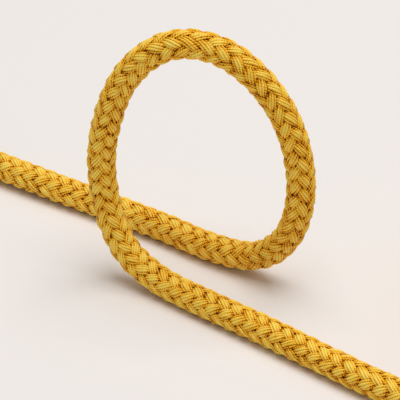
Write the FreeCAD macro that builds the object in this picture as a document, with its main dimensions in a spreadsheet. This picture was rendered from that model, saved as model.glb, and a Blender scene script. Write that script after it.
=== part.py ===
import FreeCAD, Part
import math
import os
import Sketcher
from FreeCAD import Placement, Rotation, Vector

# A three metre cut of 10 mm dynamic climbing rope, laid down with one standing loop in it.
# A braided sheath holds a core of parallel strands and a thin identity tape. Both ends are
# melted to a seal and carry a shrunk sleeve. The length past the loop is wound into a coil.
# The inside is modelled in the two straight ends. The bent rope between them is solid.
# Millimetres, +Z up. The origin is on the floor under the middle of the whole part.

doc = FreeCAD.newDocument("ClimbingRope")
sizes = doc.addObject("Spreadsheet::Sheet", "Sizes")

DRIVING = [
    ("rope_length", 3000.0),
    ("rope_diameter", 10.0),
    ("sheath_wall", 1.25),
    ("strand_gap", 0.12),
    ("tape_width", 1.2),
    ("tape_thickness", 0.15),
    ("tape_to_sheath", 0.3),
    ("seal_length", 3.0),
    ("seal_edge", 1.3),
    ("sleeve_length", 18.0),
    ("sleeve_wall", 0.5),
    ("sleeve_fit", 0.05),
    ("sleeve_over_seal", 1.5),
    ("end_past_sleeve", 2.0),
    ("underside_flat", 1.0),
    ("turn_gap", 1.25),
    ("turns_in_a_layer", 2.0),
    ("turns_on_top", 0.5),
    ("coil_lead", 10.0),
]
for row, (name, value) in enumerate(DRIVING, start=1):
    sizes.set(f"A{row}", name)
    sizes.set(f"B{row}", str(value))
    sizes.setAlias(f"B{row}", name)
doc.recompute()

OUTER_STRANDS = 6
STRAND_SIDES = 6
ROPE_SIDES = 8
COIL_LAYERS = 4

# The bent rope has flat sides, in a section that has the round rope's area. The strands
# are as wide as the bore lets seven of them be, with the gap between them and round them.
AREA_SHARE = math.sqrt(2 * math.pi / ROPE_SIDES / math.sin(2 * math.pi / ROPE_SIDES))
STRANDS_ACROSS = math.hypot(3, math.tan(math.pi / STRAND_SIDES))

ROPE = "Sizes.rope_diameter / 2"
BORE = f"{ROPE} - Sizes.sheath_wall"
STRAND = f"({BORE} - 2 * Sizes.strand_gap) / {STRANDS_ACROSS * math.cos(math.pi / STRAND_SIDES)}"
FLAT_SIDED = f"{ROPE} * {AREA_SHARE}"
END = "Sizes.sleeve_length - Sizes.sleeve_over_seal + Sizes.end_past_sleeve"
SLEEVE = [f"{ROPE} + Sizes.sleeve_fit", f"{ROPE} + Sizes.sleeve_fit + Sizes.sleeve_wall"]

rope_radius = sizes.rope_diameter / 2
bore_radius = rope_radius - sizes.sheath_wall
strand_width = 2 * (bore_radius - 2 * sizes.strand_gap) / STRANDS_ACROSS
sleeve_radius = rope_radius + sizes.sleeve_fit + sizes.sleeve_wall
end_length = sizes.sleeve_length - sizes.sleeve_over_seal + sizes.end_past_sleeve
turn_pitch = sizes.rope_diameter + sizes.turn_gap

rope_widest = 2 * rope_radius * AREA_SHARE
lying = rope_widest / 2 * math.cos(math.pi / ROPE_SIDES) - sizes.underside_flat

# The rope's middle line from its free end to the coil, as plan position and height. It lies
# on the floor, rises into the standing loop, comes down in front of itself and lies again.
ROUTE = [
    (-142.5, 83.0, sleeve_radius),
    (-119.5, 66.0, sleeve_radius),
    (-95.5, 50.0, lying),
    (-73.5, 34.0, lying),
    (-59.0, 21.0, lying),
    (-42.5, 9.5, 6.5),
    (-30.5, 0.0, 23.0),
    (-27.0, -2.0, 47.0),
    (-34.0, -0.5, 72.0),
    (-49.0, 3.0, 89.0),
    (-63.5, 6.0, 94.0),
    (-76.5, 8.5, 91.0),
    (-89.0, 11.5, 78.0),
    (-96.5, 14.0, 54.0),
    (-96.0, 15.0, 31.5),
    (-89.0, 9.0, 12.0),
    (-77.0, -1.5, lying),
    (-61.5, -15.5, lying),
    (-42.0, -32.0, lying),
    (-21.5, -51.0, lying),
    (-0.5, -70.0, lying),
    (21.5, -85.0, lying),
    (47.5, -93.0, lying),
    (74.5, -94.0, lying),
]
BEND_SHARE = 0.45


def named(kind, name):
    thing = doc.addObject(kind, name)
    thing.Label = name
    return thing


def facing(point, heading):
    """A placement whose Z runs along the heading and whose Y is as near up as it can be."""
    side = Vector(0, 0, 1).cross(heading).normalize()
    return Placement(point, Rotation(side, Vector(0, 0, 1), heading, "ZXY"))


def line(start, end):
    return Part.LineSegment(start, end).toShape()


def arc_between(start, corner, end):
    """The arc that touches both of a corner's legs, which are equally long."""
    half_chord = (end - start) / 2
    rise = corner - start - half_chord
    half_turn = math.atan2(rise.Length, half_chord.Length)
    top = start + half_chord + rise.normalize() * half_chord.Length * math.tan(half_turn / 2)
    return Part.Arc(start, top, end).toShape()


def rounded_path(points):
    """Straight runs and tangent arcs in turn, and the radius of each arc."""
    edges, radii, at = [], [], points[0]
    for before, corner, after in zip(points, points[1:], points[2:]):
        run_in, run_out = corner - before, after - corner
        leg = BEND_SHARE * min(run_in.Length, run_out.Length)
        radii.append(leg / math.tan(run_in.getAngle(run_out) / 2))
        start = corner - run_in.normalize() * leg
        end = corner + run_out.normalize() * leg
        edges += [line(at, start), arc_between(start, corner, end)]
        at = end
    return edges + [line(at, points[-1])], radii


def biarc(start, heading, end, end_heading):
    """Two arcs from one point and heading to another."""
    span, both = end - start, heading + end_heading
    bend = 2 * (1 - heading.dot(end_heading))
    along = span.dot(both)
    leg = (math.sqrt(along**2 + bend * span.dot(span)) - along) / bend
    first, second = start + heading * leg, end - end_heading * leg
    middle = (first + second) / 2
    return [arc_between(start, first, middle), arc_between(middle, second, end)]


# The free stretch, and the straight end that carries on from its first run
loop_edges, bend_radii = rounded_path([Vector(*point) for point in ROUTE])
print("radii of the free stretch's bends:", [round(radius, 1) for radius in bend_radii])
loop_path = Part.Wire(loop_edges)
loop_start = Vector(*ROUTE[0])
loop_heading = (Vector(*ROUTE[1]) - loop_start).normalize()
coil_start = Vector(*ROUTE[-1])
coil_heading = (coil_start - Vector(*ROUTE[-2])).normalize()

# The coil winds in on the floor, climbs a layer in the half turn where it turns back, winds
# out on top of that, and so on. Where it turns back it eases from one rate to the other.
EASE = 0.25
last_turn = (COIL_LAYERS - 1) * sizes.turns_in_a_layer + sizes.turns_on_top


def spread(turn):
    """How far the spiral is outside its innermost place, after that many turns."""
    layer = sizes.turns_in_a_layer
    past_inner = abs((turn % (2 * layer)) - layer)
    short_of_outer = layer - past_inner
    if past_inner < EASE:
        return turn_pitch * past_inner**2 / (2 * EASE)
    if short_of_outer < EASE and turn > EASE:
        return turn_pitch * (layer - EASE - short_of_outer**2 / (2 * EASE))
    return turn_pitch * (past_inner - EASE / 2)


def climbed(turn):
    """How high the spiral has climbed after that many turns."""
    height = 0.0
    for layer in range(1, COIL_LAYERS):
        share = (turn - layer * sizes.turns_in_a_layer) / (2 * EASE) + 0.5
        share = min(1.0, max(0.0, share))
        height += turn_pitch * share**2 * (3 - 2 * share)
    return height


# The coil's width follows from the rope that is left for it.
ends_length = 2 * (sizes.seal_length + end_length + sizes.coil_lead)
wound_length = sizes.rope_length - ends_length - loop_path.Length
SAMPLES = 2000
mean_spread = sum(spread(last_turn * k / SAMPLES) for k in range(SAMPLES)) / SAMPLES
innermost = wound_length / (2 * math.pi * last_turn) - mean_spread
print("turns:", last_turn, "mean coil diameter:", round(2 * (innermost + mean_spread), 1))


def spiral(turn):
    """The spiral's place about the coil's own middle."""
    angle, reach = 2 * math.pi * turn, innermost + spread(turn)
    return Vector(reach * math.cos(angle), reach * math.sin(angle), climbed(turn))


def spiral_heading(turn):
    step = 1e-4
    return (spiral(turn + step) - spiral(max(turn - step, 0.0))).normalize()


# Turn and move the spiral so that its straight lead carries on from the free stretch.
turned = Rotation(spiral_heading(0.0), coil_heading)
moved = coil_start + coil_heading * sizes.coil_lead - turned.multVec(spiral(0.0))
quarters = round(4 * last_turn)
stations = [last_turn * k / quarters for k in range(quarters + 1)]
places = [moved + turned.multVec(spiral(turn)) for turn in stations]
headings = [turned.multVec(spiral_heading(turn)) for turn in stations]
coil_end, end_heading = places[-1] + headings[-1] * sizes.coil_lead, headings[-1]
coil_edges = [line(coil_start, places[0])]
for k in range(quarters):
    coil_edges += biarc(places[k], headings[k], places[k + 1], headings[k + 1])
coil_edges.append(line(places[-1], coil_end))
coil_path = Part.Wire(coil_edges)


def least_gap(path, width, apart):
    """The least gap of a tube to itself, between points of its path at least apart mm along."""
    points = path.discretize(Distance=2.0)
    step = path.Length / (len(points) - 1)
    skip = math.ceil(apart / step)
    near = min(
        (points[i] - points[j]).Length
        for i in range(len(points))
        for j in range(i + skip, len(points))
    )
    return near - width


print("least gap between the coil's turns:", round(least_gap(coil_path, rope_widest, 100.0), 2))
print("least gap where the loop crosses:", round(least_gap(loop_path, rope_widest, 60.0), 2))


def bent_rope(name, wire, start, heading):
    """A flat-sided rope swept along its middle line, and cut where it lies on the floor."""
    spine = named("Part::Feature", f"{name}_line")
    spine.Shape = wire
    section = named("Part::RegularPolygon", f"{name}_section")
    section.Polygon = ROPE_SIDES
    section.setExpression("Circumradius", FLAT_SIDED)
    flat_below = Placement(Vector(), Rotation(Vector(0, 0, 1), 180 / ROPE_SIDES))
    section.Placement = facing(start, heading) * flat_below
    tube = named("Part::Sweep", f"{name}_tube")
    tube.Sections = [section]
    tube.Spine = (spine, [f"Edge{number}" for number in range(1, len(wire.Edges) + 1)])
    tube.Solid = True
    tube.Frenet = False
    pressed = named("Part::Cut", name)
    pressed.Base, pressed.Tool = tube, floor
    return pressed


def padded_body(name, radii, length):
    """A body made of one pad of concentric circles, which starts at its own origin."""
    body = named("PartDesign::Body", name)
    sketch = body.newObject("Sketcher::SketchObject", f"{name}_sketch")
    ground = next(plane for plane in body.Origin.OriginFeatures if plane.Role == "XY_Plane")
    sketch.AttachmentSupport = [(ground, "")]
    sketch.MapMode = "FlatFace"
    for number, radius in enumerate(radii):
        sketch.addGeometry(Part.Circle(Vector(), Vector(0, 0, 1), rope_radius + number))
        sketch.addConstraint(Sketcher.Constraint("Coincident", number, 3, -1, 1))
        row = sketch.addConstraint(Sketcher.Constraint("Radius", number, rope_radius + number))
        sketch.setExpression(f"Constraints[{row}]", radius)
    pad = body.newObject("PartDesign::Pad", f"{name}_pad")
    pad.Profile = sketch
    pad.setExpression("Length", length)
    doc.recompute()
    return body


def melted_seal(name):
    """The melted end: a short solid pad with a broken rim."""
    body = padded_body(name, [ROPE], "Sizes.seal_length")
    pad = body.Tip
    rim = [
        f"Edge{number}"
        for number, edge in enumerate(pad.Shape.Edges, start=1)
        if edge.BoundBox.ZMin > pad.Length.Value / 2
    ]
    chamfer = body.newObject("PartDesign::Chamfer", f"{name}_rim")
    chamfer.Base = (pad, rim)
    chamfer.setExpression("Size", "Sizes.seal_edge")
    return body


def core_strand(name, centre):
    """One strand of the core, with flats to its neighbours."""
    strand = named("Part::Prism", name)
    strand.Polygon = STRAND_SIDES
    strand.setExpression("Circumradius", STRAND)
    strand.setExpression("Height", END)
    strand.Placement = Placement(centre, Rotation(Vector(0, 0, 1), 180 / STRAND_SIDES))
    return strand


def identity_tape(name):
    """The tape that lies under the sheath, over the valley between two outer strands."""
    tape = named("Part::Box", name)
    tape.setExpression("Length", "Sizes.tape_thickness")
    tape.setExpression("Width", "Sizes.tape_width")
    tape.setExpression("Height", END)
    reach = bore_radius - sizes.tape_to_sheath - sizes.tape_thickness
    valley = Rotation(Vector(0, 0, 1), 180 / OUTER_STRANDS)
    tape.Placement = Placement(valley.multVec(Vector(reach, -sizes.tape_width / 2, 0)), valley)
    return tape


def rope_end(name, start, outward):
    """A straight round rope end, from its start to the melted seal."""
    along = sizes.sleeve_over_seal - sizes.sleeve_length + end_length
    seal, sleeve = melted_seal(f"{name}_seal"), padded_body(f"{name}_sleeve", SLEEVE, "Sizes.sleeve_length")
    seal.Placement.Base = Vector(0, 0, end_length)
    sleeve.Placement.Base = Vector(0, 0, along)
    pieces = [padded_body(f"{name}_sheath", [BORE, ROPE], END), seal, sleeve]
    pieces += [identity_tape(f"{name}_tape"), core_strand(f"{name}_core_strand_1", Vector())]
    for k in range(OUTER_STRANDS):
        angle = 2 * math.pi * k / OUTER_STRANDS
        reach = strand_width + sizes.strand_gap
        centre = Vector(reach * math.cos(angle), reach * math.sin(angle), 0)
        pieces.append(core_strand(f"{name}_core_strand_{k + 2}", centre))
    for piece in pieces:
        piece.Placement = facing(start, outward) * piece.Placement
    return pieces


# What lies below the floor is pressed flat on the real rope, and cut away here.
floor = named("Part::Box", "below_the_floor")
floor.Length = floor.Width = sizes.rope_length / 4
floor.Height = sizes.rope_diameter
floor.Placement.Base = Vector(-floor.Length.Value / 2, -floor.Width.Value / 2, -floor.Height.Value)

sub_parts = [
    *rope_end("tail", loop_start, -loop_heading),
    bent_rope("rope_loop", loop_path, loop_start, loop_heading),
    bent_rope("rope_coil", coil_path, coil_start, coil_heading),
    *rope_end("coil_end", coil_end, end_heading),
]
doc.recompute()

# Check every object, and each tube's volume against its section times its length.
for thing in doc.Objects:
    if "Invalid" in thing.State or "Error" in thing.State:
        raise RuntimeError(f"{thing.Label} failed")
for piece in sub_parts:
    if piece.Shape.isNull() or not piece.Shape.isValid() or len(piece.Shape.Solids) != 1:
        raise RuntimeError(f"{piece.Label} is no valid solid")
for tube, path in (("rope_loop_tube", loop_path), ("rope_coil_tube", coil_path)):
    share = doc.getObject(tube).Shape.Volume / (math.pi * rope_radius**2 * path.Length)
    print(f"{tube}: {path.Length:.1f} mm long, volume over section times length {share:.4f}")

os.makedirs("parts", exist_ok=True)
for piece in sub_parts:
    piece.Shape.exportStep(os.path.join("parts", f"{piece.Label}.step"))
print("sub-parts:", len(sub_parts))
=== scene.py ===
import math

import bmesh
import bpy
import numpy as np
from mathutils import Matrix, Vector


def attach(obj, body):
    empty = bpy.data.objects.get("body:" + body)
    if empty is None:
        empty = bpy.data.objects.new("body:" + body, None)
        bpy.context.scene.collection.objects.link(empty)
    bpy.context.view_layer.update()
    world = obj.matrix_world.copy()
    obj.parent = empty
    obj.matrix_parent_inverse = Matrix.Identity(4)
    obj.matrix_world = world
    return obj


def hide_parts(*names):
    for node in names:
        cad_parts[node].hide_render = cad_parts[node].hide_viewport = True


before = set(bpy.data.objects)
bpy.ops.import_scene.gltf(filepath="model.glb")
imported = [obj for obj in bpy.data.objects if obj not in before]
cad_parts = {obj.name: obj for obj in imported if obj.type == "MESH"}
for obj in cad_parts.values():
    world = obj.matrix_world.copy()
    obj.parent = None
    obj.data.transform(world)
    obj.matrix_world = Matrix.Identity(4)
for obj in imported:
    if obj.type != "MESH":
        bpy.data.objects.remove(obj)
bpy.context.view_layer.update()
mm = 0.001

# Camera: a long lens looks down at thirty degrees, a metre from the standing loop, which it
# shows at 2.9 pixels to the millimetre. Neither end of the rope is in its view.
look_at = Vector((-62.5, 6.0, 33.0)) * mm
view_distance = 1.0
view_down = math.radians(30)
focal_length = 260.9
sensor_width = 36.0

toward_camera = Vector((0, -math.cos(view_down), math.sin(view_down)))
camera_data = bpy.data.cameras.new("camera")
camera_data.sensor_width = sensor_width
camera_data.lens = focal_length
camera = bpy.data.objects.new("camera", camera_data)
camera.location = look_at + toward_camera * view_distance
camera.rotation_euler = (math.radians(90) - view_down, 0, 0)
camera_data.clip_start = 0.01
bpy.context.collection.objects.link(camera)
bpy.context.scene.camera = camera
bpy.context.scene.view_settings.view_transform = "Standard"


# Rope line: one length of 10 mm rope. It lies on the floor, rises into the standing loop,
# comes down in front of itself, lies again and goes into the coil outside the view.
lying = 4.8 * mm
end_length = 18.5 * mm
free_points = [
    Vector(point) * mm
    for point in (
        (-142.5, 83.0, 5.55),
        (-119.5, 66.0, 5.55),
        (-95.5, 50.0, 4.8),
        (-73.5, 34.0, 4.8),
        (-59.0, 21.0, 4.8),
        (-42.0, 9.5, 6.8),
        (-30.0, 0.0, 22.5),
        (-27.0, -2.0, 47.0),
        (-34.0, -0.5, 72.0),
        (-49.0, 3.0, 89.0),
        (-63.5, 6.0, 94.0),
        (-76.5, 8.5, 91.0),
        (-89.0, 11.5, 78.0),
        (-96.5, 14.0, 54.0),
        (-96.6, 15.0, 31.5),
        (-89.8, 9.0, 11.5),
        (-77.0, -1.5, 4.8),
        (-61.5, -15.5, 4.8),
        (-42.0, -32.0, 4.8),
        (-21.5, -51.0, 4.8),
        (-0.5, -70.0, 4.8),
        (21.5, -85.0, 4.8),
        (47.5, -93.0, 4.8),
        (74.5, -94.0, 4.8),
    )
]

# The coil winds in and out again in four layers. It climbs a layer in the half turn where the
# spiral turns back, and eases there from one rate to the other.
turn_pitch = 11.25 * mm
layer_rise = 10.94 * mm
turns_in_a_layer = 2.0
coil_turns = 6.5
ease = 0.25
wound_length = 2403.6 * mm
coil_middle = Vector((88.92, -23.80, 0.0)) * mm
coil_start = math.radians(-93.6)
points_in_a_turn = 16
samples = 2000
coil_lead = 10.0 * mm


def spread(turn):
    """How far the spiral is outside its innermost place, after that many turns."""
    past_inner = abs((turn % (2 * turns_in_a_layer)) - turns_in_a_layer)
    short_of_outer = turns_in_a_layer - past_inner
    if past_inner < ease:
        return turn_pitch * past_inner**2 / (2 * ease)
    if short_of_outer < ease and turn > ease:
        return turn_pitch * (turns_in_a_layer - ease - short_of_outer**2 / (2 * ease))
    return turn_pitch * (past_inner - ease / 2)


def climbed(turn):
    """How high the spiral has climbed after that many turns."""
    height = 0.0
    for layer in (1, 2, 3):
        share = (turn - layer * turns_in_a_layer) / (2 * ease) + 0.5
        share = min(1.0, max(0.0, share))
        height += layer_rise * share**2 * (3 - 2 * share)
    return height


mean_spread = sum(spread(coil_turns * k / samples) for k in range(samples)) / samples
innermost = wound_length / (2 * math.pi * coil_turns) - mean_spread

# The smooth line runs inside its corner points by this much, so they stand that much outside.
inside_corner = (3 + math.cos(2 * math.pi / points_in_a_turn)) / 4


def coil_place(turn, outward=1.0):
    """A place on the coil, or by that factor further out, where its corner point stands."""
    angle = coil_start + 2 * math.pi * turn
    reach = (innermost + spread(turn)) * outward
    place = coil_middle + Vector((math.cos(angle), math.sin(angle), 0)) * reach
    place.z = lying + climbed(turn)
    return place


steps = round(coil_turns * points_in_a_turn)
coil_points = [coil_place((k + 0.5) * coil_turns / steps, 1 / inside_corner) for k in range(steps)]
coil_end = coil_place(coil_turns)
small_turn = 0.001
coil_run = (coil_place(coil_turns + small_turn) - coil_place(coil_turns - small_turn)).normalized()
coil_lead_point = coil_end + coil_run * (coil_end - coil_points[-1]).length
last_point = coil_end + coil_run * (coil_lead + end_length)
tail_run = (free_points[0] - free_points[1]).normalized()
first_point = free_points[0] + tail_run * end_length
line_points = [first_point] + free_points + coil_points + [coil_lead_point, last_point]

line_data = bpy.data.curves.new("rope_line", "CURVE")
line_data.dimensions = "3D"
line_data.resolution_u = 24
spline = line_data.splines.new("NURBS")
spline.points.add(len(line_points) - 1)
for spline_point, place in zip(spline.points, line_points):
    spline_point.co = (*place, 1.0)
spline.order_u = 3
spline.use_endpoint_u = True
line_object = bpy.data.objects.new("rope_line", line_data)
line_mesh = bpy.data.meshes.new_from_object(line_object)
line = np.array([vertex.co for vertex in line_mesh.vertices])
bpy.data.objects.remove(line_object)


# Middle line: the spline's own points, evenly spaced, with two directions square to it.
# They turn with the line and don't twist about it, so the braid can be laid round them.
line_step = 0.25 * mm
runs = np.linalg.norm(np.diff(line, axis=0), axis=1)
along = np.concatenate([[0.0], np.cumsum(runs)])
rope_length = along[-1]
stations = np.linspace(0.0, rope_length, round(rope_length / line_step) + 1)
middle = np.stack([np.interp(stations, along, line[:, axis]) for axis in range(3)], axis=1)
heading = np.gradient(middle, stations, axis=0)
heading /= np.linalg.norm(heading, axis=1)[:, None]

upward = np.zeros_like(middle)
upward[0] = (0.0, 0.0, 1.0)
for k in range(1, len(stations)):
    turned = upward[k - 1] - heading[k] * (upward[k - 1] @ heading[k])
    upward[k] = turned / np.linalg.norm(turned)
sideways = np.cross(heading, upward)


def at(values, distance):
    """Values of the middle line at distances along it."""
    place = np.clip(distance, 0.0, rope_length) / rope_length * (len(stations) - 1)
    low = np.minimum(place.astype(int), len(stations) - 2)
    share = (place - low)[..., None]
    return values[low] * (1 - share) + values[low + 1] * share


def on_rope(distance, angle, radius):
    """Points round the rope: a distance along it, an angle round it and a radius."""
    across = np.cos(angle)[..., None] * at(upward, distance)
    across += np.sin(angle)[..., None] * at(sideways, distance)
    return at(middle, distance) + across * radius[..., None]


# Backing: the inner side of the sheath, in the deep gaps between the braid's strands.
# It is the same dyed polyamide, painted a darker brown as painted shade for the deep gaps.
backing_radius = 3.55 * mm
backing_step = 1.5 * mm
backing_sides = 16
mottle_size = 1.1 * mm


def grid_mesh(name, points, uv=None, depth=None):
    """A closed mesh from rings of points, with a cap over its first ring and its last."""
    rings, around = points.shape[:2]
    mesh = bpy.data.meshes.new(name)
    number = np.arange(rings * around).reshape(rings, around)
    right = np.roll(number, -1, axis=1)
    quads = np.stack([number[:-1], right[:-1], right[1:], number[1:]], axis=-1).reshape(-1, 4)
    loops = quads.ravel()
    starts = np.arange(len(quads)) * 4
    for cap in (number[0][::-1], number[-1]):
        starts = np.append(starts, len(loops))
        loops = np.append(loops, cap)
    mesh.vertices.add(rings * around)
    mesh.vertices.foreach_set("co", points.reshape(-1).astype(np.float32))
    mesh.loops.add(len(loops))
    mesh.loops.foreach_set("vertex_index", loops.astype(np.int32))
    mesh.polygons.add(len(starts))
    mesh.polygons.foreach_set("loop_start", starts.astype(np.int32))
    mesh.update(calc_edges=True)
    mesh.polygons.foreach_set("use_smooth", np.ones(len(starts), dtype=bool))
    if uv is not None:
        layer = mesh.uv_layers.new(name="along_and_across")
        layer.data.foreach_set("uv", uv.reshape(-1, 2)[loops].ravel().astype(np.float32))
    if depth is not None:
        attribute = mesh.attributes.new("depth", "FLOAT", "POINT")
        attribute.data.foreach_set("value", depth.ravel().astype(np.float32))
    mesh.validate()
    piece = bpy.data.objects.new(name, mesh)
    bpy.context.collection.objects.link(piece)
    return piece


def linear(colour):
    """An sRGB hex colour as the linear values that the shader takes."""
    channels = [int(colour[k : k + 2], 16) / 255 for k in (1, 3, 5)]
    return [c / 12.92 if c <= 0.04045 else ((c + 0.055) / 1.055) ** 2.4 for c in channels] + [1.0]


def add_node(tree, kind, links=None, **settings):
    """A node with its settings, and its inputs linked or set by name or number."""
    node = tree.nodes.new(kind)
    for name, value in settings.items():
        setattr(node, name, value)
    for name, value in (links or {}).items():
        if isinstance(value, bpy.types.NodeSocket):
            tree.links.new(value, node.inputs[name])
        else:
            node.inputs[name].default_value = value
    return node


def new_material(name):
    """A material and its node tree and surface shader."""
    material = bpy.data.materials.new(name)
    material.use_nodes = True
    return material, material.node_tree, material.node_tree.nodes["Principled BSDF"]


backing_material, tree, shader = new_material("polyamide_inside_painted_shade")
coords = add_node(tree, "ShaderNodeTexCoord")
mottle = add_node(
    tree, "ShaderNodeTexNoise", {"Vector": coords.outputs["Object"], "Scale": 1 / mottle_size}
)
# Painted shade: the backing's dark browns stand for the shade deep between the strands.
shade = add_node(tree, "ShaderNodeValToRGB", {"Fac": mottle.outputs["Fac"]})
shade.color_ramp.elements[0].color = linear("#4A2A02")
shade.color_ramp.elements[1].color = linear("#6E4306")
tree.links.new(shade.outputs["Color"], shader.inputs["Base Color"])
shader.inputs["Roughness"].default_value = 0.9

rings = round(rope_length / backing_step)
distance = np.linspace(0.0, rope_length, rings)[:, None].repeat(backing_sides, 1)
angle = np.linspace(0.0, 2 * math.pi, backing_sides, endpoint=False)[None, :].repeat(rings, 0)
backing = grid_mesh("sheath_backing", on_rope(distance, angle, np.full(distance.shape, backing_radius)))
backing.data.materials.append(backing_material)
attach(backing, "root")
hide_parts("rope_loop", "rope_coil", "tail_sheath", "coil_end_sheath")


# Braided sheath: sixteen strands of dyed polyamide, eight each way round, over two and
# under two. Each strand is four plied yarns side by side, which swell where they are on top
# and draw together where they dive, so each stitch is a plump oval.
strands_each_way = 8
wales = 4
lay = 45.0 * mm
mid_radius = 3.80 * mm
stitch_radius = 4.6 * mm
outer_radius = 5.2 * mm

# A strand goes out and in by its dive, and its yarns spread and arch up where it is on top.
dive = 0.46 * mm
swell = 0.6
yarns = 4
yarn_radius = 0.40 * mm
yarn_spacing = 0.80 * mm
yarn_turns = np.radians([170, 130, 90, 50, 10])
width_on_top = 1.11
width_below = 0.72
crown_on_top = 0.64 * mm
crown_below = 0.20 * mm
underside = 0.30 * mm
underside_reach = 0.8
# How much darker the sides of each yarn are painted, as painted shade between the yarns.
valley_painted_shade = 0.15
deepest = 1.5 * mm

# No two stitches are quite alike: a strand, its yarns' heights and their places all waver.
uneven_strand = 0.06 * mm
uneven_height = 0.07 * mm
uneven_place = 0.08 * mm
long_swell = 9 * mm
short_swell = 8 * mm

# The mesh is fine over the free stretch and coarser in the coil. Under the sleeves the braid is
# drawn in by a few hundredths.
near_step = 0.36 * mm
far_step = 1.5 * mm
near_end = 600 * mm
floor_gap = 0.05 * mm
squeezed = 0.955
squeeze_end = 16.5 * mm
squeeze_ease = 4.0 * mm
uv_length = 10 * mm

# The whole braid turns slowly about the rope's middle line, as it does in the photograph:
# millimetres along the rope, and degrees round it.
braid_turns = [
    (0, 0),
    (55, 4),
    (110, 14),
    (145, -4),
    (190, 8),
    (222, 34),
    (262, 60),
    (300, 28),
    (350, 48),
    (372, 70),
    (430, 62),
    (450, 80),
]
turn_places = [place * mm for place, degrees in braid_turns]
turn_angles = [math.radians(degrees) for place, degrees in braid_turns]
rng = np.random.default_rng(7)


def uneven(distance, size, parts=5):
    """A smooth random wave along the rope, about one high, with swells of about this size."""
    total = np.zeros_like(distance)
    for _ in range(parts):
        rate = 2 * math.pi / size * rng.uniform(0.5, 1.8)
        total += np.sin(distance * rate + rng.uniform(0, 2 * math.pi))
    return total / math.sqrt(parts)


def eased(share):
    """Zero to one, flat at both ends."""
    share = np.clip(share, 0.0, 1.0)
    return share**2 * (3 - 2 * share)


def braid_strand(number, way):
    """One strand of the sheath. Way is 1 or -1, for the direction that it winds round."""
    turn_rate = way * 2 * math.pi / lay
    first_angle = 2 * math.pi * (number + (0.5 if way < 0 else 0.0)) / strands_each_way
    lean = math.atan(2 * math.pi * stitch_radius / lay)
    near = np.arange(0.0, near_end, near_step * math.cos(lean))
    far = np.arange(near_end, rope_length, far_step * math.cos(lean))
    distance = np.concatenate([near, far, [rope_length]])
    laid = first_angle + turn_rate * distance
    angle = laid + np.interp(distance, turn_places, turn_angles)

    over = way * np.cos(wales * laid)
    height = swell * over + (1 - swell) * np.sin(over * math.pi / 2)
    on_top = (1 + height) / 2
    width = width_below + (width_on_top - width_below) * on_top
    crown = crown_below + (crown_on_top - crown_below) * on_top
    strand_radius = mid_radius + dive * height + uneven_strand * uneven(distance, long_swell)

    across, out, valley = [], [], []
    half = yarns * yarn_spacing / 2
    for k in range(yarns):
        offset = (k - (yarns - 1) / 2) * yarn_spacing
        lift = crown * (1 - (offset / half) ** 2)
        lift = lift + uneven_height * uneven(distance, short_swell)
        shift = uneven_place * uneven(distance, long_swell)
        for turn in yarn_turns:
            across.append((offset + yarn_radius * math.cos(turn) + shift) * width)
            out.append(lift + yarn_radius * math.sin(turn))
            valley.append(1 - math.sin(turn))
    for side in (underside_reach * half, -underside_reach * half):
        across.append(side * width)
        out.append(np.full_like(distance, -underside))
        valley.append(1.0)
    across, out = np.stack(across, axis=1), np.stack(out, axis=1)

    radius = strand_radius[:, None] + out
    # The yarn material reads this depth and paints deeper places and yarn sides darker, as painted shade.
    depth = (outer_radius - radius) / deepest + valley_painted_shade * np.array(valley)[None, :]
    from_end = np.minimum(distance, rope_length - distance)
    squeeze = squeezed + (1 - squeezed) * eased((from_end - squeeze_end) / squeeze_ease)
    ring_distance = distance[:, None] - way * across * math.sin(lean)
    ring_angle = angle[:, None] + across * math.cos(lean) / stitch_radius
    points = on_rope(ring_distance, ring_angle, radius * squeeze[:, None])
    points[..., 2] = np.maximum(points[..., 2], floor_gap)
    v = np.linspace(0.0, 1.0, across.shape[1])[None, :].repeat(len(distance), 0)
    u = (distance / math.cos(lean) / uv_length)[:, None].repeat(across.shape[1], 1)
    name = f"sheath_strand_{'left' if way > 0 else 'right'}_{number + 1}"
    return grid_mesh(name, points, uv=np.stack([u, v], axis=-1), depth=depth)


strands = [braid_strand(number, way) for way in (1, -1) for number in range(strands_each_way)]


# Plied polyamide yarn: dyed before it is braided, so it is one yellow all through. Its fibres
# give a soft broken gleam and its ply a fine slanting line. The gaps and the sides of the
# yarns are painted a darker warm brown as painted shade, and the crests lighter as a painted
# highlight. A fibre is a few hundredths of a millimetre thick, so its streaks are drawn coarser, to show.
# A wave texture of scale 1 repeats after this length on its slant.
wave_period = 0.628
ply_pitch = 0.9 * mm
ply_slant = 1.4
streak_length = uv_length / 11
streaks_across = 16.0
blotch_size = 3.85 * mm
gap_painted_shade = 0.55
ply_contrast = 0.13
ply_relief = 0.8
yarn_relief = 0.1 * mm
# The ramp's dark stops are painted shade for the gaps, and its brightest stop is a painted highlight for the
# crests.
yellow_and_painted_shade_stops = ((0.12, "#3A1600"), (0.25, "#BC6A00"), (0.36, "#FFB705"), (0.56, "#FFE060"))
yarn_material, tree, shader = new_material("dyed_polyamide_yarn_painted_shade")
coords = add_node(tree, "ShaderNodeTexCoord")
ply_scale = (wave_period * uv_length / ply_pitch, ply_slant, 1.0)
ply_space = add_node(tree, "ShaderNodeMapping", {"Vector": coords.outputs["UV"], "Scale": ply_scale})
ply = add_node(
    tree,
    "ShaderNodeTexWave",
    {"Vector": ply_space.outputs["Vector"], "Scale": 1.0, "Distortion": 1.2, "Detail": 2.0},
    bands_direction="DIAGONAL",
)
streak_scale = (uv_length / streak_length, streaks_across, 1.0)
streak_space = add_node(
    tree, "ShaderNodeMapping", {"Vector": coords.outputs["UV"], "Scale": streak_scale}
)
streak = add_node(
    tree, "ShaderNodeTexNoise", {"Vector": streak_space.outputs["Vector"], "Scale": 1.0, "Detail": 3.0}
)
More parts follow.
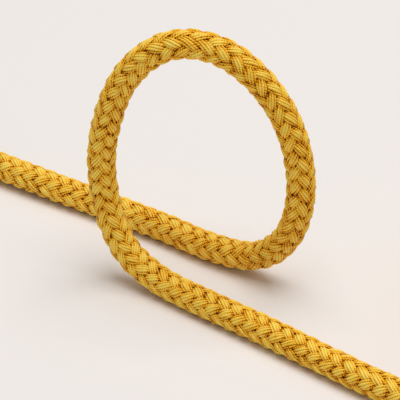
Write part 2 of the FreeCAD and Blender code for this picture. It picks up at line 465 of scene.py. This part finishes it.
blotch = add_node(
    tree,
    "ShaderNodeTexNoise",
    {"Vector": coords.outputs["Object"], "Scale": 1 / blotch_size, "Detail": 3.0},
)
even = add_node(tree, "ShaderNodeMath", {0: streak.outputs["Fac"], 1: blotch.outputs["Fac"]}, operation="ADD")
half_even = add_node(tree, "ShaderNodeMath", {0: even.outputs["Value"], 1: 0.5}, operation="MULTIPLY")
# Painted shade and highlight: the deeper a point lies in the braid, the darker its yellow, so gaps are
# painted brown and crests light.
depth = add_node(tree, "ShaderNodeAttribute", attribute_name="depth")
shaded = add_node(
    tree,
    "ShaderNodeMath",
    {0: depth.outputs["Fac"], 1: -gap_painted_shade, 2: half_even.outputs["Value"]},
    operation="MULTIPLY_ADD",
)
tone = add_node(
    tree,
    "ShaderNodeMath",
    {0: ply.outputs["Fac"], 1: ply_contrast, 2: shaded.outputs["Value"]},
    operation="MULTIPLY_ADD",
)
yellow = add_node(tree, "ShaderNodeValToRGB", {"Fac": tone.outputs["Value"]})
for stop, (position, colour) in enumerate(yellow_and_painted_shade_stops):
    if stop >= len(yellow.color_ramp.elements):
        yellow.color_ramp.elements.new(position)
    yellow.color_ramp.elements[stop].position = position
    yellow.color_ramp.elements[stop].color = linear(colour)
tree.links.new(yellow.outputs["Color"], shader.inputs["Base Color"])
relief = add_node(
    tree,
    "ShaderNodeMath",
    {0: ply.outputs["Fac"], 1: ply_relief, 2: streak.outputs["Fac"]},
    operation="MULTIPLY_ADD",
)
bump = add_node(
    tree, "ShaderNodeBump", {"Height": relief.outputs["Value"], "Strength": 0.7, "Distance": yarn_relief}
)
tree.links.new(bump.outputs["Normal"], shader.inputs["Normal"])
shader.inputs["IOR"].default_value = 1.53
shader.inputs["Roughness"].default_value = 0.38
shader.inputs["Specular IOR Level"].default_value = 0.16
for strand in strands:
    strand.data.materials.append(yarn_material)
    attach(strand, "root")


# Melted seals: the cut ends are melted, so the fibres run together and can't fray. Each is
# a low glossy dome of polyamide, darker than the yarn and browned in blotches by the heat.
seal_height = 3.0 * mm
seal_radius = 4.98 * mm
seal_shrink = 0.25 * mm
seal_lumps = 0.18 * mm
seal_rings = 24
seal_sides = 72
top_of_dome = 0.985
dome_rise = 1.4
dome_round = 0.6
lump_squeeze = 0.02
scorch_size = 2.4 * mm


def on_end(end, outward, angle, radius):
    """Points round a straight rope end, by the distance outward from the end of its sheath."""
    across = np.cos(angle)[..., None] * upward[end] + np.sin(angle)[..., None] * sideways[end]
    run = heading[end] * (-1 if end == 0 else 1)
    return middle[end] + run * outward[..., None] + across * radius[..., None]


def melted_seal(end, name):
    """The lumpy dome on one end: 0 for the tail and -1 for the coil's end."""
    around = np.linspace(0.0, 2 * math.pi, seal_sides, endpoint=False)[None, :].repeat(seal_rings, 0)
    rise = np.linspace(0.0, 0.5 * math.pi * top_of_dome, seal_rings)[:, None].repeat(seal_sides, 1)
    lumps = 0.5 * np.sin(5 * around + 1.0) + 0.3 * np.sin(8 * around + 2.6) + 0.2 * np.sin(13 * around)
    outward = (seal_height - seal_shrink) * np.sin(rise) ** dome_rise
    outward += seal_lumps * lumps * np.sin(2 * rise) ** 2
    radius = seal_radius * np.cos(rise) ** dome_round * (1 - lump_squeeze * (1 + lumps) * np.sin(rise))
    if end == 0:
        around = -around
    return grid_mesh(name, on_end(end, outward, around, radius))


seal_material, tree, shader = new_material("melted_polyamide")
coords = add_node(tree, "ShaderNodeTexCoord")
scorch = add_node(
    tree,
    "ShaderNodeTexNoise",
    {"Vector": coords.outputs["Object"], "Scale": 1 / scorch_size, "Detail": 4.0},
)
brown = add_node(tree, "ShaderNodeValToRGB", {"Fac": scorch.outputs["Fac"]})
brown.color_ramp.elements[0].position = 0.35
brown.color_ramp.elements[0].color = linear("#5B3206")
brown.color_ramp.elements[1].position = 0.65
brown.color_ramp.elements[1].color = linear("#B8780F")
tree.links.new(brown.outputs["Color"], shader.inputs["Base Color"])
bump = add_node(
    tree, "ShaderNodeBump", {"Height": scorch.outputs["Fac"], "Strength": 0.4, "Distance": 0.1 * mm}
)
tree.links.new(bump.outputs["Normal"], shader.inputs["Normal"])
shader.inputs["IOR"].default_value = 1.53
shader.inputs["Roughness"].default_value = 0.28
seals = [melted_seal(0, "tail_melted_end"), melted_seal(-1, "coil_end_melted_end")]
for seal, node in zip(seals, ("tail_seal", "coil_end_seal")):
    seal.data.materials.append(seal_material)
    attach(seal, "root")
    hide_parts(node)


# Shrunk sleeves: a thin tube of polyolefin is shrunk with hot air over each end, so it
# follows the braid's stitches a little and its two edges draw in to soft rolled lips. Its skin
# is matt from the mould, with a grain drawn coarser than the real one, to show.
sleeve_start = 1.5 * mm
sleeve_end = -16.5 * mm
sleeve_inside = 5.06 * mm
sleeve_outside = 5.5 * mm
sleeve_relief = 0.09 * mm
lip_radius = 0.22 * mm
sleeve_rings = 150
sleeve_sides = 128
lip_rings = 10
from_lip = 0.6 * mm
fade_in = 2.0 * mm
fade_out = 1.2 * mm
seal_hollow = 0.05 * mm
seal_hollow_start = 0.2 * mm
grain_size = 0.67 * mm


def grid_mesh_loop(name, points):
    """A closed mesh from rings of points whose last ring joins the first, such as a tube's wall."""
    piece = grid_mesh(name, np.concatenate([points, points[:1]]))
    edit = bmesh.new()
    edit.from_mesh(piece.data)
    bmesh.ops.delete(edit, geom=[face for face in edit.faces if len(face.verts) > 4], context="FACES_ONLY")
    bmesh.ops.remove_doubles(edit, verts=edit.verts, dist=0.001 * mm)
    edit.to_mesh(piece.data)
    edit.free()
    return piece


def shrunk_sleeve(end, name):
    """The tube over one end: its outside, a rolled lip, its inside and the other lip."""
    lip = np.linspace(0.0, math.pi, lip_rings)
    mid_wall = (sleeve_inside + sleeve_outside) / 2
    half_wall = (sleeve_outside - sleeve_inside) / 2
    outside = np.linspace(sleeve_end + lip_radius, sleeve_start - lip_radius, sleeve_rings)
    roll = lip_radius * (1 - np.sin(lip))
    outward = np.concatenate([outside, sleeve_start - roll, outside[::-1], sleeve_end + roll])
    radius = np.concatenate(
        [
            np.full(sleeve_rings, sleeve_outside),
            mid_wall + half_wall * np.cos(lip),
            np.full(sleeve_rings, sleeve_inside),
            mid_wall - half_wall * np.cos(lip),
        ]
    )
    rings = len(outward)
    outward = outward[:, None].repeat(sleeve_sides, 1)
    radius = radius[:, None].repeat(sleeve_sides, 1)
    around = np.linspace(0.0, 2 * math.pi, sleeve_sides, endpoint=False)[None, :].repeat(rings, 0)
    stitch = 2 * math.pi * outward / (lay / strands_each_way)
    wale = strands_each_way / 2 * around
    bumps = np.cos(wale) * np.sin(stitch + wale) + np.sin(wale) * np.cos(stitch - wale)
    share_outside = (radius - sleeve_inside) / (sleeve_outside - sleeve_inside)
    fade = eased((sleeve_start - from_lip - outward) / fade_in) * eased((outward - sleeve_end) / fade_out)
    radius = radius - sleeve_relief * share_outside * fade * (2 - bumps) / 3
    past_braid = eased((outward - seal_hollow_start) / fade_out)
    radius = radius - seal_hollow * past_braid * share_outside
    points = on_end(end, outward, -around if end == 0 else around, radius)
    return grid_mesh_loop(name, points)


sleeve_material, tree, shader = new_material("heat_shrunk_polyolefin")
coords = add_node(tree, "ShaderNodeTexCoord")
grain = add_node(
    tree,
    "ShaderNodeTexNoise",
    {"Vector": coords.outputs["Object"], "Scale": 1 / grain_size, "Detail": 3.0},
)
grey = add_node(tree, "ShaderNodeValToRGB", {"Fac": grain.outputs["Fac"]})
grey.color_ramp.elements[0].color = linear("#232427")
grey.color_ramp.elements[1].color = linear("#35363A")
tree.links.new(grey.outputs["Color"], shader.inputs["Base Color"])
bump = add_node(
    tree, "ShaderNodeBump", {"Height": grain.outputs["Fac"], "Strength": 0.3, "Distance": 0.03 * mm}
)
tree.links.new(bump.outputs["Normal"], shader.inputs["Normal"])
shader.inputs["IOR"].default_value = 1.49
shader.inputs["Roughness"].default_value = 0.42
sleeves = [shrunk_sleeve(0, "tail_shrunk_sleeve"), shrunk_sleeve(-1, "coil_end_shrunk_sleeve")]
for sleeve, node in zip(sleeves, ("tail_sleeve", "coil_end_sleeve")):
    sleeve.data.materials.append(sleeve_material)
    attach(sleeve, "root")
    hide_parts(node)


# Core strands and identity tapes: inside the two ends, and seen only where a sheath is cut.
# The core is undyed twisted polyamide, off-white with a slanting twist, and the tape is a thin
# film of polyester, drawn smooth and bright.
twist_pitch = 2.1 * mm
drawn_grain = 0.4 * mm
core_material, tree, shader = new_material("twisted_polyamide_core")
coords = add_node(tree, "ShaderNodeTexCoord")
twist = add_node(
    tree,
    "ShaderNodeTexWave",
    {"Vector": coords.outputs["Object"], "Scale": wave_period / twist_pitch, "Distortion": 2.0},
    bands_direction="DIAGONAL",
)
white = add_node(tree, "ShaderNodeValToRGB", {"Fac": twist.outputs["Fac"]})
white.color_ramp.elements[0].color = linear("#CFCBC0")
white.color_ramp.elements[1].color = linear("#F1EEE6")
tree.links.new(white.outputs["Color"], shader.inputs["Base Color"])
bump = add_node(
    tree, "ShaderNodeBump", {"Height": twist.outputs["Fac"], "Strength": 0.5, "Distance": 0.1 * mm}
)
tree.links.new(bump.outputs["Normal"], shader.inputs["Normal"])
shader.inputs["Roughness"].default_value = 0.6

tape_material, tree, shader = new_material("polyester_film")
coords = add_node(tree, "ShaderNodeTexCoord")
drawn = add_node(
    tree, "ShaderNodeTexNoise", {"Vector": coords.outputs["Object"], "Scale": 1 / drawn_grain}
)
film = add_node(tree, "ShaderNodeValToRGB", {"Fac": drawn.outputs["Fac"]})
film.color_ramp.elements[0].color = linear("#E4E7EA")
film.color_ramp.elements[1].color = linear("#F7F8F9")
tree.links.new(film.outputs["Color"], shader.inputs["Base Color"])
shader.inputs["Roughness"].default_value = 0.25

for name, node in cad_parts.items():
    if "core_strand" in name:
        node.data.materials.clear()
        node.data.materials.append(core_material)
    elif "tape" in name:
        node.data.materials.clear()
        node.data.materials.append(tape_material)


# Floor and light: a plain pale matt sheet, a wide soft lamp nearly overhead and a dim
# white room, so that the floor renders in the colour that is written here.
floor_half = 4.0
lamp_size = 1.9
lamp_power = 45.0
lamp_place = look_at + Vector((0.3, 0.05, 2.25))
room_light = 0.32

floor_mesh = bpy.data.meshes.new("floor")
corners = [(x * floor_half, y * floor_half, 0.0) for x, y in ((-1, -1), (1, -1), (1, 1), (-1, 1))]
floor_mesh.from_pydata(corners, [], [(0, 1, 2, 3)])
floor = bpy.data.objects.new("floor", floor_mesh)
bpy.context.collection.objects.link(floor)
floor_material, tree, shader = new_material("matt_paper")
shader.inputs["Base Color"].default_value = linear("#EEE9E5")
shader.inputs["Roughness"].default_value = 0.95
floor.data.materials.append(floor_material)

lamp_data = bpy.data.lights.new("overhead", "AREA")
lamp_data.shape = "SQUARE"
lamp_data.size = lamp_size
lamp_data.energy = lamp_power
lamp = bpy.data.objects.new("overhead", lamp_data)
lamp.location = lamp_place
lamp.rotation_euler = (look_at - lamp_place).to_track_quat("-Z", "Y").to_euler()
bpy.context.collection.objects.link(lamp)

world = bpy.data.worlds.new("studio")
world.use_nodes = True
world.node_tree.nodes["Background"].inputs["Color"].default_value = (1, 1, 1, 1)
world.node_tree.nodes["Background"].inputs["Strength"].default_value = room_light
bpy.context.scene.world = world
